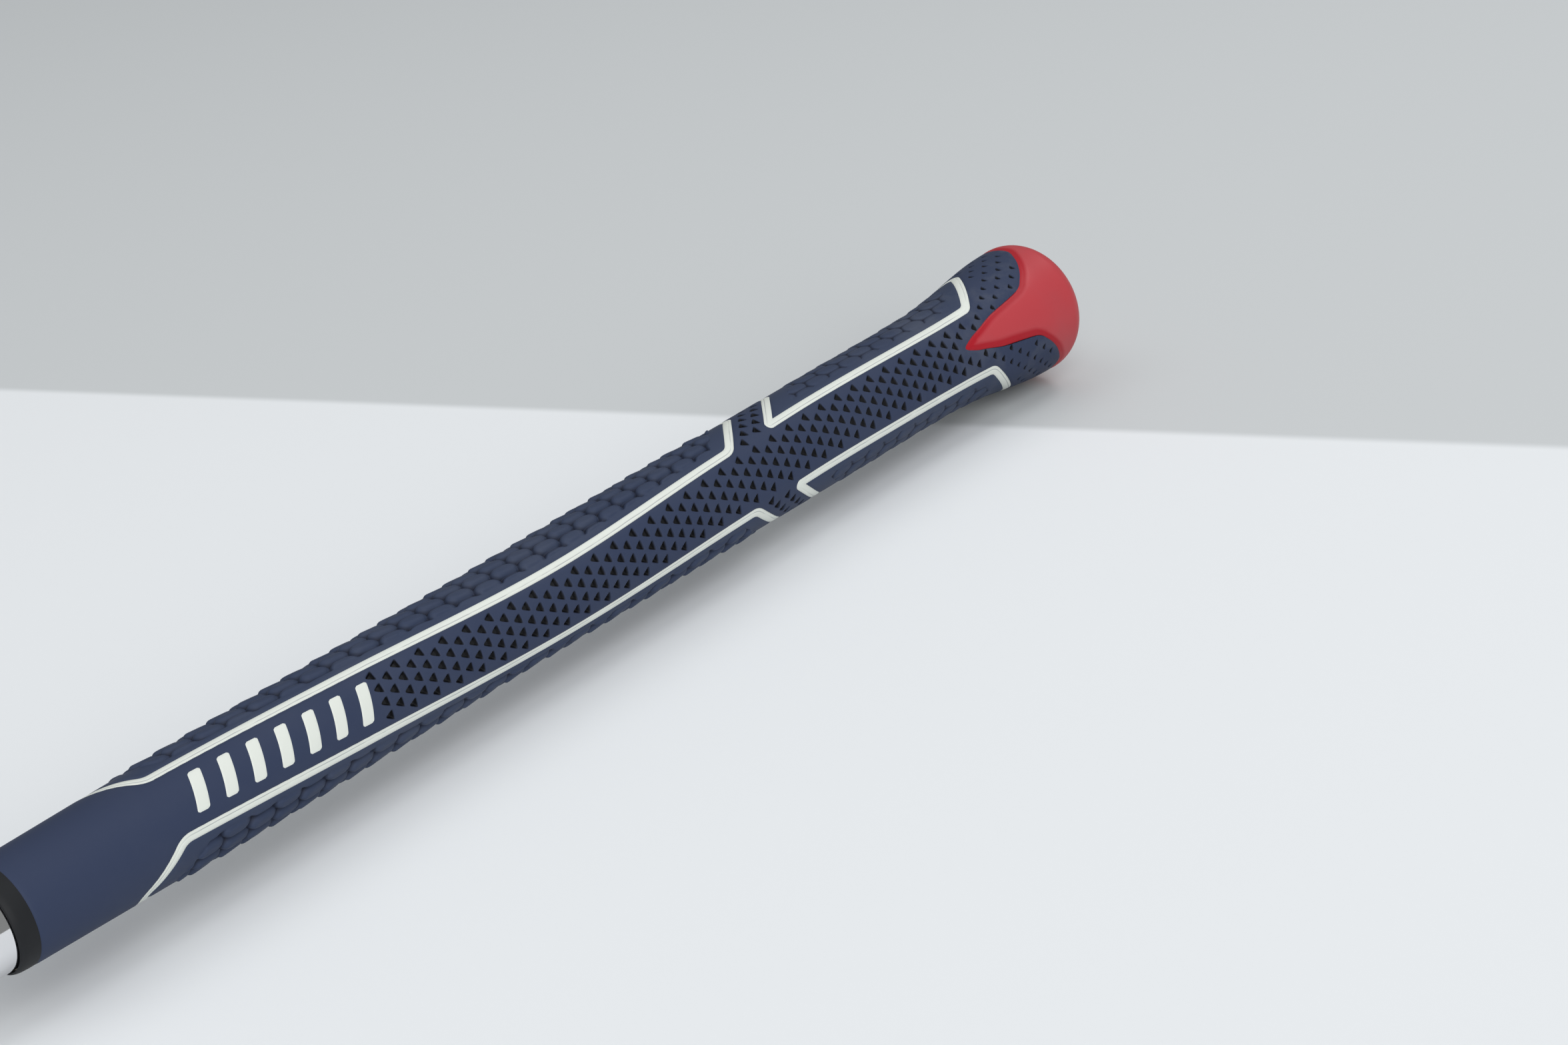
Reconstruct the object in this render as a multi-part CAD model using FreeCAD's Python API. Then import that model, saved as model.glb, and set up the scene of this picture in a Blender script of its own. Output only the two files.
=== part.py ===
import FreeCAD, Part
import math
import os

from FreeCAD import Matrix, Placement, Vector

# A left-handed lob wedge lying on its sole and back, all sizes in millimetres.
# In the finished part the origin is the centre of the butt end, +X runs along the
# shaft axis from the head to the butt, +Z is up and the grip's front strip faces -Y.
# The club is drawn along its own axis first: z is the distance from the butt end
# towards the head, x is the middle of the front strip, and a last turn lays it down.

os.makedirs("parts", exist_ok=True)
Vector2d = FreeCAD.Base.Vector2d
overrun = 6.0

# Whole club
club_length = 889.0
lie_deg = 64.0
loft_deg = 60.0
roll_deg = 26.3

# Shaft
butt_radius = 7.62
tip_radius = 4.70
shaft_wall = 0.50
first_step = 305.0
step_pitch = 38.1
step_count = 13
step_ramp = 2.0
tip_gap = 2.0
plug_length = 22.0
plug_clearance = 0.04

# Grip layers and ends
grip_length = 270.0
tape_thickness = 0.18
tape_overhang = 1.0
lip_length = 3.3
lip_radius = 8.50
lip_nose_radius = 7.95
cap_wall = 4.6
vent_radius = 1.6
skin_at_mouth = 0.40
skin_thickness = 0.80
layer_gap = 0.06

# Grip outside: radii, and their places from the butt end, or their gaps from the mouth end
mouth_radius = 8.55
collar_radius = 9.25
collar_gap = 41.0
lower_radius = 9.60
lower_place = 171.0
middle_radius = 10.10
middle_place = 132.0
upper_radius = 10.75
upper_place = 74.0
flare_radius = 10.95
flare_place = 45.0
flare_mid_radius = 11.50
flare_mid_place = 32.0
flare_turn_radius = 13.00
flare_turn_place = 20.0
shoulder_radius = 13.95
shoulder_place = 12.0
rim_radius = 14.30
rim_round = 4.4
dome_rise = 0.4

# White line frames, panels and the strip between them
strip_half_deg = 37.0
line_width = 1.7
line_sink = 0.15
panel_sink = 0.05
unroll_radius = 9.8
lower_corner_gap = 29.5
lower_tip_gap = 21.0
lower_cap_corner = 107.0
lower_cap_tip = 96.3
upper_mouth_corner = 95.0
upper_mouth_notch = 84.3
upper_cap_corner = 31.0
upper_cap_tip = 19.9
wide_corner_round = 3.2
sharp_corner_round = 1.0
tip_round = 1.2
sample_pitch = 10.0
arc_samples = 9

# The sleeve sits a little twisted on the shaft
twist_deg = 14.0
twist_place_shares = (0.0, 0.12, 0.30, 0.415, 0.585, 0.75, 0.89, 1.0)
twist_shares = (0.0, -0.02, 0.17, -0.21, -0.91, 0.16, 1.06, 1.26)

# Cap tongue
tongue_place = 38.5
lobe_place = 6.5
tongue_place_shares = (1.0, 0.905, 0.81, 0.655, 0.5, 0.345, 0.25, 0.155, 0.08, 0.03, 0.0)
tongue_angle_shares = (0.0, 0.085, 0.127, 0.195, 0.225, 0.258, 0.34, 0.465, 0.60, 0.72, 1.0)

# Holes through the skin
hole_side = 1.75
hole_base_share = 0.4
hole_tip_share = 0.5
hole_pitch = 2.545
hole_step_deg = 14.8
hole_gap = 71.0
hole_margin = 1.2
band_step = 2.65
lobe_rows = 5

# Plain slanted bars in the strip near the mouth
bar_count = 7
bar_width = 2.3
bar_height = 6.8
bar_slant = 2.2
bar_gap = 33.0
bar_pitch = 5.4
bar_sink = 0.1

# Ferrule and hosel
hosel_length = 72.0
hosel_radius = 6.7
hosel_depth = 34.0
glue_thickness = 0.12
ferrule_length = 24.0
ferrule_top_radius = 5.75
ferrule_top_lip = 0.5
ferrule_swell_share = 0.4
ring_place = 4.0
ring_length = 1.6
ring_thickness = 1.0
fit_gap = 0.03

# Head
nose_y = 8.0
nose_z = 2.6
nose_round = 2.0
bounce_deg = 10.0
sole_front = 14.0
sole_rear = 14.5
sole_round = 45.0
relief_deg = 7.0
trail_round = 3.0
muscle_height = 10.0
muscle_lean = 4.5
muscle_round = 4.0
thin_reach = 37.0
blade_thickness = 5.8
blade_depth = 70.0
toe_reach = 73.0
toe_height = 60.0
heel_reach = 3.0
heel_height = 19.0
camber_radius = 230.0
camber_centre = 32.0
edge_round = 0.9
outline_low_share = 0.66
outline_reach_shares = (0.845, 0.955, 1.0, 0.985, 0.93, 0.84, 0.72, 0.55, 0.36, 0.17, 0.03)
outline_height_shares = (0.02, 0.19, 0.42, 0.66, 0.85, 0.965, 0.985, 0.875, 0.70, 0.51, 0.375)
groove_pitch = 3.6
groove_width = 0.9
groove_depth = 0.5
groove_count = 13
groove_first = 7.0
groove_heel = 24.0
groove_toe = 61.0
groove_top_x = 18.5
groove_top_y = 30.6
groove_top_lean = 1.25

# Neck: ovals from the hosel down into the heel, in shares of the hosel's radius
neck_place = 33.0
neck_centre_shares = (
    (-1.57, -0.06, 3.36),
    (-0.84, -0.27, 2.27),
    (-0.09, -0.63, 1.55),
    (0.90, -1.02, 1.22),
    (2.39, -1.31, 1.05),
)
neck_heading_shares = (
    (0.50, -0.02, -0.86),
    (0.68, -0.06, -0.72),
    (0.85, -0.10, -0.42),
    (0.97, -0.08, -0.15),
    (1, 0, 0),
)
neck_wide_way_shares = ((0, -1, 0.04), (0, -1, 0.14), (0, -0.96, 0.28), (0, -0.92, 0.38), (0, -0.90, 0.43))
neck_wide_shares = (1.04, 1.22, 1.48, 1.73, 1.67)
neck_thin_shares = (1.01, 1.07, 1.10, 0.93, 0.61)

mouth_place = grip_length - lip_length
collar_place = grip_length - collar_gap
lower_mouth_corner = grip_length - lower_corner_gap
lower_mouth_tip = grip_length - lower_tip_gap
hole_first = grip_length - hole_gap
bar_first = grip_length - bar_gap
tape_radius = butt_radius + tape_thickness
rim_place = rim_round + dome_rise
core_cap_radius = flare_radius - skin_thickness
strip_half = math.radians(strip_half_deg)
quarter = math.pi / 2


def cubic(place, places, values):
    # A smooth curve through a few stations, flat beyond the last ones.
    if place <= places[0]:
        return values[0]
    if place >= places[-1]:
        return values[-1]
    last = len(places) - 1
    k = max(i for i in range(last) if places[i] <= place)
    span = places[k + 1] - places[k]

    def slope(i):
        a, b = max(i - 1, 0), min(i + 1, last)
        return (values[b] - values[a]) / (places[b] - places[a])

    t = (place - places[k]) / span
    rise = values[k + 1] - values[k]
    lead = slope(k) * span
    tail = slope(k + 1) * span
    return values[k] + t * lead + t * t * (3 * rise - 2 * lead - tail) + t**3 * (lead + tail - 2 * rise)


def twist(place):
    places = [share * grip_length for share in twist_place_shares]
    angles = [share * math.radians(twist_deg) for share in twist_shares]
    return cubic(place, places, angles)


def at(radius, place):
    # A point of a turned profile.
    return Vector(radius, 0, place)


def line(a, b):
    return Part.LineSegment(a, b).toShape()


def arc(a, mid, b):
    return Part.Arc(a, mid, b).toShape()


def chain(points):
    return [line(a, b) for a, b in zip(points, points[1:])]


def turned(edges):
    face = Part.Face(Part.Wire(edges))
    return face.revolve(Vector(0, 0, 0), Vector(0, 0, 1), 360)


def tube(inner, outer, start, end):
    corners = [at(inner, start), at(outer, start), at(outer, end), at(inner, end)]
    return turned(chain(corners + corners[:1]))


def rod(radius, start, end):
    return Part.makeCylinder(radius, end - start, Vector(0, 0, start), Vector(0, 0, 1))


def barrel_points(sink):
    # The straight run of the grip's outside, from the mouth to the flare.
    return [
        at(mouth_radius - sink, mouth_place),
        at(collar_radius - sink, collar_place),
        at(lower_radius - sink, lower_place),
        at(middle_radius - sink, middle_place),
        at(upper_radius - sink, upper_place),
        at(flare_radius - sink, flare_place),
    ]


def core_points():
    # The outside of the black core, under the skin, up to the cap.
    return [at(mouth_radius - skin_at_mouth, mouth_place)] + barrel_points(skin_thickness)[1:] + [
        at(core_cap_radius, cap_wall)
    ]


def flare_edges(sink):
    turn = at(flare_turn_radius - sink, flare_turn_place)
    return [
        arc(at(flare_radius - sink, flare_place), at(flare_mid_radius - sink, flare_mid_place), turn),
        arc(turn, at(shoulder_radius - sink, shoulder_place), at(rim_radius - sink, rim_place)),
    ]


def skin_blank(sink):
    # A sleeve from the core out to the grip's surface, or a little below it.
    inside = [at(p.x + layer_gap, p.z) for p in core_points()[:-1]]
    inside += [at(core_cap_radius + layer_gap, rim_place), at(rim_radius - sink, rim_place)]
    mouth = chain([at(mouth_radius - sink, mouth_place), inside[0]])
    return turned(chain(barrel_points(sink)) + flare_edges(sink) + mouth + chain(inside))


def cap_blank():
    start = at(flare_radius, flare_place)
    corner = Vector(rim_radius - rim_round, 0, dome_rise)
    half = rim_round * math.sqrt(0.5)
    mid = at(rim_radius - rim_round + half, rim_place - half)
    inside = [at(0, 0), at(0, cap_wall), at(core_cap_radius, cap_wall), at(core_cap_radius, flare_place)]
    flat = math.hypot(corner.x, dome_rise) ** 2 / (2 * dome_rise)
    bulge = at(corner.x / 2, flat - math.sqrt(flat**2 - (corner.x / 2) ** 2))
    edges = flare_edges(0) + [arc(at(rim_radius, rim_place), mid, corner), arc(corner, bulge, at(0, 0))]
    return turned(edges + chain(inside + [start]))


def rounded(corners, rounds):
    # A closed flat outline with an arc at each corner.
    arcs = []
    for k, corner in enumerate(corners):
        before = (corners[k - 1] - corner).normalize()
        after = (corners[(k + 1) % len(corners)] - corner).normalize()
        half = before.getAngle(after) / 2
        reach = rounds[k] / math.tan(half)
        middle = (before + after).normalize() * (rounds[k] / math.sin(half) - rounds[k])
        arcs.append((corner + before * reach, corner + middle, corner + after * reach))
    edges = []
    for k, (start, mid, end) in enumerate(arcs):
        edges.append(line(arcs[k - 1][2], start))
        edges.append(arc(start, mid, end))
    return Part.Wire(edges)


def wrapped(outline, side, twisted=True):
    # A block with radial walls over an outline drawn on the unrolled grip,
    # where x is the distance round from the side's middle and y the place.
    shells = []
    rings = []
    for radius in (tape_radius, rim_radius + overrun):
        drum = Part.Cylinder()
        drum.Radius = radius
        edges = []
        for edge in outline.OrderedEdges:
            steps = 2 + int(edge.Length / sample_pitch) if twisted else 2
            if not isinstance(edge.Curve, Part.Line):
                steps = max(steps, arc_samples)
            points = edge.discretize(Number=steps)
            if edge.Orientation == "Reversed":
                points = points[::-1]
            flat = []
            for p in points:
                turn = twist(p.y) if twisted else 0
                flat.append(Vector2d(math.pi + p.x / unroll_radius + turn, p.y))
            if len(flat) == 2:
                curve = Part.Geom2d.Line2dSegment(flat[0], flat[1])
            else:
                curve = Part.Geom2d.BSplineCurve2d()
                curve.interpolate(flat)
            edges.append(curve.toShape(drum))
        rings.append(edges)
        shells.append(Part.Face(drum, Part.Wire(edges)))
    walls = [Part.makeRuledSurface(a, b) for a, b in zip(*rings)]
    solid = Part.Solid(Part.makeShell(shells + walls))
    solid.rotate(Vector(0, 0, 0), Vector(0, 0, 1), math.degrees(side) - 180)
    return solid


def slanted_rows(x, place, fall, offsets):
    # Rows of hole places that run beside a slanted white line, out to the grip's side.
    along = band_step / math.hypot(1, fall)
    last_x = quarter * unroll_radius
    found = []
    for row, offset in enumerate(offsets):
        for k in range(int((last_x - x) / along) + 1):
            across = x + (k + row % 2 / 2) * along
            if across <= last_x:
                found.append((across, place - fall * (across - x) - offset))
    return found


def tongue_edge(x):
    # Place of the cap's edge at a distance x round from the middle of its tongue.
    span = tongue_place - lobe_place
    angles = [share * quarter for share in tongue_angle_shares]
    places = [lobe_place + share * span for share in tongue_place_shares]
    return cubic(abs(x) / unroll_radius, angles, places)


def hole_places():
    # Distance round from the strip's middle, and place, of every hole on one face of the grip.
    step = math.radians(hole_step_deg) * unroll_radius
    edge = strip_half * unroll_radius
    reach = (quarter - strip_half) * unroll_radius
    clear = line_width / 2 + hole_margin
    found = []
    rows = int((hole_first - flare_turn_place) / hole_pitch)
    for row in range(rows):
        place = hole_first - row * hole_pitch
        shares = (-1.5, -0.5, 0.5, 1.5) if row % 2 == 0 else (-1, 0, 1)
        for share in shares:
            if place > tongue_edge(share * step) + clear:
                found.append((share * step, place))
    band_fall = (lower_cap_corner - lower_cap_tip) / reach
    band_middle = (lower_cap_corner + upper_mouth_corner) / 2
    cap_fall = (upper_cap_corner - upper_cap_tip) / reach
    band_offsets = (-hole_pitch / 2, hole_pitch / 2)
    sides = slanted_rows(edge - clear, band_middle + clear, band_fall, band_offsets)
    lobe_offsets = [clear + hole_pitch * (k + 0.5) for k in range(lobe_rows)]
    for x, place in slanted_rows(edge - clear, upper_cap_corner + clear, cap_fall, lobe_offsets):
        if place > tongue_edge(x) + clear:
            sides.append((x, place))
    for x, place in sides:
        found += [(x, place), (-x, place)]
    return found


def hole(x, place):
    # A three-sided hole whose point looks to the mouth.
    near = tape_radius
    base = place - hole_side * hole_base_share
    tip = place + hole_side * hole_tip_share
    corners = [Vector(near, -hole_side / 2, base), Vector(near, hole_side / 2, base), Vector(near, 0, tip)]
    wire = Part.makePolygon(corners + corners[:1])
    prism = Part.Face(wire).extrude(Vector(overrun + rim_radius - near, 0, 0))
    angle = x / unroll_radius + twist(place)
    prism.rotate(Vector(0, 0, 0), Vector(0, 0, 1), math.degrees(angle))
    return prism


def tongue_outline():
    # The cap's edge round one half of the grip, closed beyond the butt end.
    half = quarter * unroll_radius
    span = tongue_place - lobe_place
    side = []
    for angle, place in zip(tongue_angle_shares[1:], tongue_place_shares[1:]):
        side.append(Vector(angle * half, lobe_place + place * span))
    mirror = [Vector(-p.x, p.y) for p in reversed(side)]
    curve = Part.BSplineCurve()
    curve.interpolate(mirror + [Vector(0, tongue_place)] + side)
    corners = [side[-1], Vector(half, -overrun), Vector(-half, -overrun), mirror[0]]
    return Part.Wire([curve.toShape()] + chain(corners))


def panel_outline(mouth_corner, mouth_tip, cap_corner, cap_tip, mouth_round, mouth_tip_round):
    # The white frame's centre line: two long sides and an angled end to mouth and cap.
    reach = (quarter - strip_half) * unroll_radius
    corners = [
        Vector(0, mouth_tip),
        Vector(-reach, mouth_corner),
        Vector(-reach, cap_corner),
        Vector(0, cap_tip),
        Vector(reach, cap_corner),
        Vector(reach, mouth_corner),
    ]
    rounds = [mouth_tip_round, mouth_round, wide_corner_round, tip_round, wide_corner_round, mouth_round]
    return rounded(corners, rounds)


def make_grip():
    nodes = {}
    nodes["grip_tape"] = tube(butt_radius, tape_radius, cap_wall, grip_length - tape_overhang)
    nose = at(lip_nose_radius, grip_length)
    lip_side = at(lip_radius, mouth_place + lip_length / 4)
    lip_mid = at((lip_radius * 2 + lip_nose_radius) / 3, grip_length - lip_length / 4)
    outside = [at(lip_radius, mouth_place)] + core_points()
    inside = [at(tape_radius, cap_wall), at(tape_radius, grip_length)]
    lip = [arc(nose, lip_mid, lip_side), line(lip_side, outside[0])]
    nodes["grip_core"] = turned(lip + chain(outside + inside + [nose]))

    tongue = tongue_outline()
    collar = rod(rim_radius + overrun, -overrun, lobe_place - dome_rise)
    cap_zone = wrapped(tongue, 0, False).fuse([wrapped(tongue, 2 * quarter, False), collar])
    nodes["end_cap"] = cap_blank().common(cap_zone).cut(rod(vent_radius, -overrun, cap_wall + overrun))

    openings = [cap_zone]
    lower = [lower_mouth_corner, lower_mouth_tip, lower_cap_corner, lower_cap_tip]
    upper = [upper_mouth_corner, upper_mouth_notch, upper_cap_corner, upper_cap_tip]
    frames = {
        "lower": (lower, (wide_corner_round, wide_corner_round)),
        "upper": (upper, (sharp_corner_round, tip_round)),
    }
    for level, (places, mouth_rounds) in frames.items():
        middle = panel_outline(*places, *mouth_rounds)
        outer = middle.makeOffset2D(line_width / 2)
        inner = middle.makeOffset2D(-line_width / 2)
        for name, side in (("left", -quarter), ("right", quarter)):
            window = wrapped(outer, side)
            field = wrapped(inner, side)
            nodes[f"white_line_{level}_{name}"] = skin_blank(line_sink).common(window).cut(field)
            nodes[f"{level}_panel_{name}"] = skin_blank(panel_sink).common(field)
            openings.append(window)

    bars = []
    for k in range(bar_count):
        end = bar_first - k * bar_pitch
        half = bar_height / 2
        corners = [
            Vector(-half, end),
            Vector(-half, end - bar_width),
            Vector(half, end - bar_width - bar_slant),
            Vector(half, end - bar_slant),
        ]
        bars.append(wrapped(Part.makePolygon(corners + corners[:1]), 0))
    nodes["front_bars"] = skin_blank(bar_sink).common(Part.makeCompound(bars))
    openings += bars

    holes = [hole(x, place) for x, place in hole_places()]
    nodes["grip_skin"] = skin_blank(0).cut(openings).cut(holes)
    return nodes


def make_shaft():
    radii = [butt_radius + (tip_radius - butt_radius) * k / step_count for k in range(step_count + 1)]
    tip_place = club_length - hosel_length + hosel_depth - tip_gap
    outside = [at(butt_radius, cap_wall)]
    for k in range(step_count):
        place = first_step + k * step_pitch
        outside += [at(radii[k], place), at(radii[k + 1], place + step_ramp)]
    outside.append(at(tip_radius, tip_place))
    inside = [at(p.x - shaft_wall, p.z) for p in reversed(outside)]
    bore = tip_radius - shaft_wall - plug_clearance
    plug_end = tip_place - tip_gap
    return {
        "shaft": turned(chain(outside + inside + outside[:1])),
        "tip_plug": rod(bore, plug_end - plug_length, plug_end),
    }


def make_ferrule():
    foot = club_length - hosel_length
    top = foot - ferrule_length
    bore = tip_radius + fit_gap
    swell = hosel_radius + (ferrule_top_radius - hosel_radius) * ferrule_swell_share
    ring_end = foot - ring_place
    ring_start = ring_end - ring_length
    shoulder = at(ferrule_top_radius, top + ferrule_top_lip)
    base = at(hosel_radius, foot)
    side = arc(base, at(swell, (foot + top) / 2), shoulder)
    crown = [shoulder, at(ferrule_top_radius - ferrule_top_lip, top), at(bore, top), at(bore, foot), base]
    solid = turned([side] + chain(crown))
    groove = tube(hosel_radius - ring_thickness, hosel_radius + overrun, ring_start, ring_end)
    return {
        "ferrule": solid.cut(groove),
        "ferrule_ring": solid.common(groove),
        "hosel_glue": tube(tip_radius, tip_radius + glue_thickness, foot, foot + hosel_depth - tip_gap),
    }


def frame(origin, x_axis, y_axis, z_axis):
    rows = []
    for name in ("x", "y", "z"):
        rows += [getattr(axis, name) for axis in (x_axis, y_axis, z_axis, origin)]
    return Placement(Matrix(*rows))


def placed(shape, place):
    moved = shape.copy()
    moved.Placement = place.multiply(moved.Placement)
    return moved


def face_line(y, depth=0.0):
    # Height over y of the striking face, or of a surface parallel to it and deeper.
    slope = 1 / math.tan(math.radians(loft_deg))
    return nose_z + (nose_y - y) * slope - depth / math.sin(math.radians(loft_deg))


def section_wire(x):
    # The blade cut across: nose, sole, trailing edge, muscle and thin upper back.
    sole_y = nose_y - sole_front
    sole_z = nose_z - sole_front * math.tan(math.radians(bounce_deg))
    trail_y = sole_y - sole_rear
    trail_z = sole_z + sole_rear * math.tan(math.radians(relief_deg))
    thin_y = nose_y - thin_reach
    end_y = nose_y - blade_depth
    corners = [
        Vector(x, nose_y, nose_z),
        Vector(x, sole_y, sole_z),
        Vector(x, trail_y, trail_z),
        Vector(x, trail_y - muscle_lean, trail_z + muscle_height),
        Vector(x, thin_y, face_line(thin_y, blade_thickness)),
        Vector(x, end_y, face_line(end_y, blade_thickness)),
        Vector(x, end_y, face_line(end_y)),
    ]
    rounds = [nose_round, sole_round, trail_round, muscle_round, muscle_round, edge_round, edge_round]
    return rounded(corners, rounds)


def blade_outline():
    # Seen square to the face: x to the toe, y up the face from the nose.
    toe_low = Vector(toe_reach * outline_low_share, -overrun)
    heel_top = Vector(-heel_reach, heel_height)
    points = [toe_low]
    for x, y in zip(outline_reach_shares, outline_height_shares):
        points.append(Vector(x * toe_reach, y * toe_height))
    curve = Part.BSplineCurve()
    curve.interpolate(points + [heel_top])
    return Part.Wire([curve.toShape()] + chain([heel_top, Vector(-heel_reach, -overrun), toe_low]))


def make_blade(face_frame):
    # The outline cut square to the face, the bar of the section, and the sole's camber from heel to toe.
    outline = Part.Face(blade_outline()).extrude(Vector(0, 0, blade_depth))
    outline.translate(Vector(0, 0, -overrun))
    heel_end = -heel_reach - overrun
    section = Part.Face(section_wire(heel_end)).extrude(Vector(toe_reach + overrun - heel_end, 0, 0))
    low = Vector(camber_centre, -blade_depth * 2, camber_radius)
    camber = Part.makeCylinder(camber_radius, blade_depth * 3, low, Vector(0, 1, 0))
    blade = placed(outline, face_frame).common(section).common(camber).Solids[0]
    return blade.makeFillet(edge_round, blade.Edges)


def oval(centre, heading, wide_way, wide, thin):
    # A closed oval square to its heading, with its wide side along wide_way.
    z = Vector(heading).normalize()
    x = Vector(wide_way)
    x = (x - z * x.dot(z)).normalize()
    ring = Part.Ellipse(Vector(0, 0, 0), wide, thin)
    return placed(Part.Wire(ring.toShape()), frame(Vector(centre), x, z.cross(x), z))


def make_neck(axis):
    # The hosel's round barrel and the loft that leads it into the heel.
    start = axis * neck_place
    barrel = Part.makeCylinder(hosel_radius, hosel_length - neck_place, start, axis)
    sections = [oval(start, -axis, neck_wide_way_shares[0], hosel_radius, hosel_radius)]
    for k, centre in enumerate(neck_centre_shares):
        wide = neck_wide_shares[k] * hosel_radius
        thin = neck_thin_shares[k] * hosel_radius
        place = Vector(centre) * hosel_radius
        sections.append(oval(place, neck_heading_shares[k], neck_wide_way_shares[k], wide, thin))
    return [barrel, Part.makeLoft(sections, True)]


def groove_cutters(face_frame):
    # V grooves across the face, each starting where the hosel's blend ends.
    cutters = []
    for k in range(groove_count):
        y = groove_first + k * groove_pitch
        x = max(groove_heel, groove_top_x + (y - groove_top_y) * groove_top_lean)
        corners = [
            Vector(x, y - groove_width, -groove_depth),
            Vector(x, y + groove_width, -groove_depth),
            Vector(x, y, groove_depth),
        ]
        wedge = Part.Face(Part.makePolygon(corners + corners[:1])).extrude(Vector(groove_toe - x, 0, 0))
        cutters.append(placed(wedge, face_frame))
    return cutters


def make_head():
    # Drawn right-handed, standing on its sole: x to the toe, y to the target, z up.
    lie = math.radians(lie_deg)
    loft = math.radians(loft_deg)
    face_frame = frame(
        Vector(0, nose_y, nose_z),
        Vector(1, 0, 0),
        Vector(0, -math.sin(loft), math.cos(loft)),
        Vector(0, -math.cos(loft), -math.sin(loft)),
    )
    axis = Vector(-math.cos(lie), 0, math.sin(lie))
    head = make_blade(face_frame).fuse(make_neck(axis)).removeSplitter()
    mouth = axis * (hosel_length + overrun)
    bore = Part.makeCylinder(tip_radius + glue_thickness, hosel_depth + overrun, mouth, -axis)
    head = head.cut([bore] + groove_cutters(face_frame))
    left_handed = head.mirror(Vector(0, 0, 0), Vector(0, 1, 0))
    stand = frame(
        Vector(0, 0, club_length),
        Vector(math.sin(lie), 0, math.cos(lie)),
        Vector(0, -1, 0),
        Vector(math.cos(lie), 0, -math.sin(lie)),
    )
    return placed(left_handed, stand)


def lay_down(shape):
    # From the club's own axis to the finished part's frame.
    roll = math.radians(roll_deg)
    place = frame(
        Vector(0, 0, 0),
        Vector(0, -math.cos(roll), math.sin(roll)),
        Vector(0, math.sin(roll), math.cos(roll)),
        Vector(-1, 0, 0),
    )
    return placed(shape, place)


def main():
    nodes = make_grip()
    nodes.update(make_shaft())
    nodes.update(make_ferrule())
    nodes["wedge_head"] = make_head()
    for name, shape in nodes.items():
        lay_down(shape).exportStep(f"parts/{name}.step")
        print(name, len(shape.Solids), "solid(s)", round(shape.Volume, 1), "mm3")


main()
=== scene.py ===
import math

import bmesh
import bpy
import numpy as np
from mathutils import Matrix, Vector


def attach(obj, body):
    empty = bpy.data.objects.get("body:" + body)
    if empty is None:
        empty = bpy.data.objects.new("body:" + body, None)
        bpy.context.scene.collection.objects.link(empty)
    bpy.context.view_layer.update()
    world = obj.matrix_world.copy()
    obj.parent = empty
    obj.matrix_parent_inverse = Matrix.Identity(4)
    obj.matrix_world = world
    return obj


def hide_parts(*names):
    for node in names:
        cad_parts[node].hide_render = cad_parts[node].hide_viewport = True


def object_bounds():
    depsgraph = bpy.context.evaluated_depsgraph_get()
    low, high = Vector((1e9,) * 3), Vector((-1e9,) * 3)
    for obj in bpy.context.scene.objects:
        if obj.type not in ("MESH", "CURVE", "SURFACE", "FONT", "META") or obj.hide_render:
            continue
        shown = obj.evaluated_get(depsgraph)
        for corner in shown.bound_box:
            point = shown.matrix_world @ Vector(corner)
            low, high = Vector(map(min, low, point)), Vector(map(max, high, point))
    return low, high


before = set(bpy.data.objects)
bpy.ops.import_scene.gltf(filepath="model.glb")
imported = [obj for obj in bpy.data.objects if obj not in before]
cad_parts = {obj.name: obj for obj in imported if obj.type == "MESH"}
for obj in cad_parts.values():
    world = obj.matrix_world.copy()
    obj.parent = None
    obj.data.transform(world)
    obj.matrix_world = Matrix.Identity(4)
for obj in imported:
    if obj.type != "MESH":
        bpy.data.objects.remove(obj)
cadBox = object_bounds()
print("frame loaded")

mm = 0.001

# The grip's own figures: places run from the butt end to the mouth, sizes in metres
gripShape = {
    "rollDeg": 26.3,  # how far the front strip looks up from level
    "length": 270.0 * mm,
    "mouthPlace": 266.7 * mm,
    "places": np.array((4.8, 12.0, 20.0, 32.0, 45.0, 74.0, 132.0, 171.0, 229.0, 266.7)) * mm,
    "radii": np.array((14.30, 13.95, 13.00, 11.50, 10.95, 10.75, 10.10, 9.60, 9.25, 8.55)) * mm,
    "unrollRadius": 9.8 * mm,  # lengths round the grip are laid flat at this radius
    "stripHalfDeg": 37.0,
    "twistDeg": 14.0,  # the strips wind this far, by the shares below
    "twistPlaceShares": (0.0, 0.12, 0.30, 0.415, 0.585, 0.75, 0.89, 1.0),
    "twistShares": (0.0, -0.02, 0.17, -0.21, -0.91, 0.16, 1.06, 1.26),
    "wallDepth": 0.75 * mm,  # how deep each piece's border goes into the grip
    "dipDepth": 0.13 * mm,  # how far the rubber sinks beside a seam
    "dipReach": 0.50 * mm,
}
quarterTurn = math.pi / 2
weldDigits = 8  # points that agree to this many decimals of a metre become one
lineChunk = 100  # vertices of a border line that are measured at once


def smoothCurve(query, places, values):
    # Cubic through stations, whose slope at a station is the chord of its two neighbours.
    places, values = np.asarray(places, float), np.asarray(values, float)
    slopes = np.empty_like(values)
    slopes[1:-1] = (values[2:] - values[:-2]) / (places[2:] - places[:-2])
    slopes[0] = (values[1] - values[0]) / (places[1] - places[0])
    slopes[-1] = (values[-1] - values[-2]) / (places[-1] - places[-2])
    q = np.clip(query, places[0], places[-1])
    k = np.clip(np.searchsorted(places, q, side="right") - 1, 0, len(places) - 2)
    span = places[k + 1] - places[k]
    t = (q - places[k]) / span
    rise = values[k + 1] - values[k]
    lead, tail = slopes[k] * span, slopes[k + 1] * span
    return values[k] + t * lead + t**2 * (3 * rise - 2 * lead - tail) + t**3 * (lead + tail - 2 * rise)


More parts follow.
